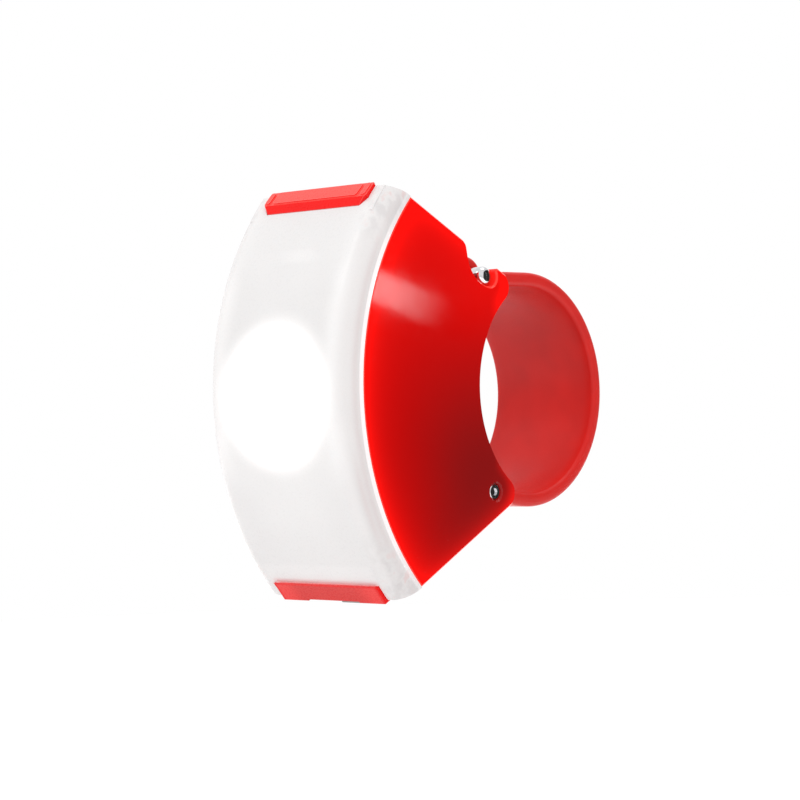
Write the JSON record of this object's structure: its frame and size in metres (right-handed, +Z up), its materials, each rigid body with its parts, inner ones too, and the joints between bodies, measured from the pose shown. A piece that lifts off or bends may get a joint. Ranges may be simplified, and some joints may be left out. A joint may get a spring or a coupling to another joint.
{
  "type": "bicycle headlight",
  "caption": "Wedge-shaped clip-on bicycle headlight with a curved frosted lens, flat red side plates, a button on top, a charging port below and a silicone strap for the bar.",
  "frame": {"origin": "axis of the bar that the light straps onto, midway between the two side plates", "axes": "+X along the bar towards the rider's left, +Y backwards to the rider, +Z up; the light shines towards -Y"},
  "size_m": [0.0284, 0.0647, 0.0609],
  "materials": {
    "frosted_lens": "frosted translucent polycarbonate",
    "red_plate": "high gloss",
    "red_housing": "satin",
    "red_button": "satin",
    "red_cap": "satin",
    "red_silicone": "soft satin silicone",
    "grey_silicone": "soft satin silicone",
    "dark_rubber": "matt",
    "polished_steel": "polished",
    "screw_steel": "zinc plated",
    "port_steel": "plain",
    "board_aluminium": "white solder mask",
    "circuit_board": "solder mask",
    "black_plastic": "matt",
    "white_plastic": "matt",
    "clear_optic": "clear acrylic",
    "lamp_phosphor": "phosphor under a clear dome",
    "spacer_brass": "plain",
    "cell_foil": "foil",
    "tape_white": "foam tape",
    "foam_grey": "open foam",
    "lead_red": "wire insulation",
    "chip_black": "moulded epoxy"
  },
  "bodies": {
    "light": {"lens_shell": "frosted_lens", "lens_gasket": "dark_rubber", "rear_housing": "red_housing", "right_side_plate": "red_plate", "left_side_plate": "red_plate", "saddle_pad": "dark_rubber", "anchor_pin": "polished_steel", "stem_seal": "dark_rubber", "switch_board": "circuit_board", "tact_switch": "black_plastic", "port_cap": "red_cap", "plug_tether": "grey_silicone", "socket_shell": "port_steel", "socket_tongue": "black_plastic", "lamp_board": "board_aluminium", "main_board": "circuit_board", "board_spacers": "spacer_brass", "board_screws": "screw_steel", "main_lamp": "lamp_phosphor", "optic": "clear_optic", "optic_holder": "white_plastic", "cell_tape": "tape_white", "battery_cell": "cell_foil", "foam_pad": "foam_grey", "battery_leads": "lead_red", "driver_chips": "chip_black", "charge_lamp": "white_plastic"},
    "strap_hook": {"hook_pin": "polished_steel", "strap": "red_silicone"},
    "button": {"power_button": "red_button", "switch_plunger": "black_plastic"},
    "plug": {"port_plug": "grey_silicone"}
  },
  "joints": [
    {"name": "strap_release", "type": "slide", "parent": "light", "child": "strap_hook", "axis": [0, -0.7071, 0.7071], "range_m": [0, 0.0045], "stiffness_N_per_m": 1500, "springref_m": -0.002, "deforming": ["strap"]},
    {"name": "button_press", "type": "slide", "parent": "light", "child": "button", "axis": [0, 0.7071, -0.7071], "range_m": [0, 0.0005], "stiffness_N_per_m": 3000, "springref_m": -0.0002},
    {"name": "port_plug_swing", "type": "hinge", "parent": "light", "child": "plug", "pos_m": [0, -0.03004, -0.02739], "axis": [1, 0, 0], "range_deg": [0, 100], "stiffness_Nm_per_rad": 0.003}
  ]
}
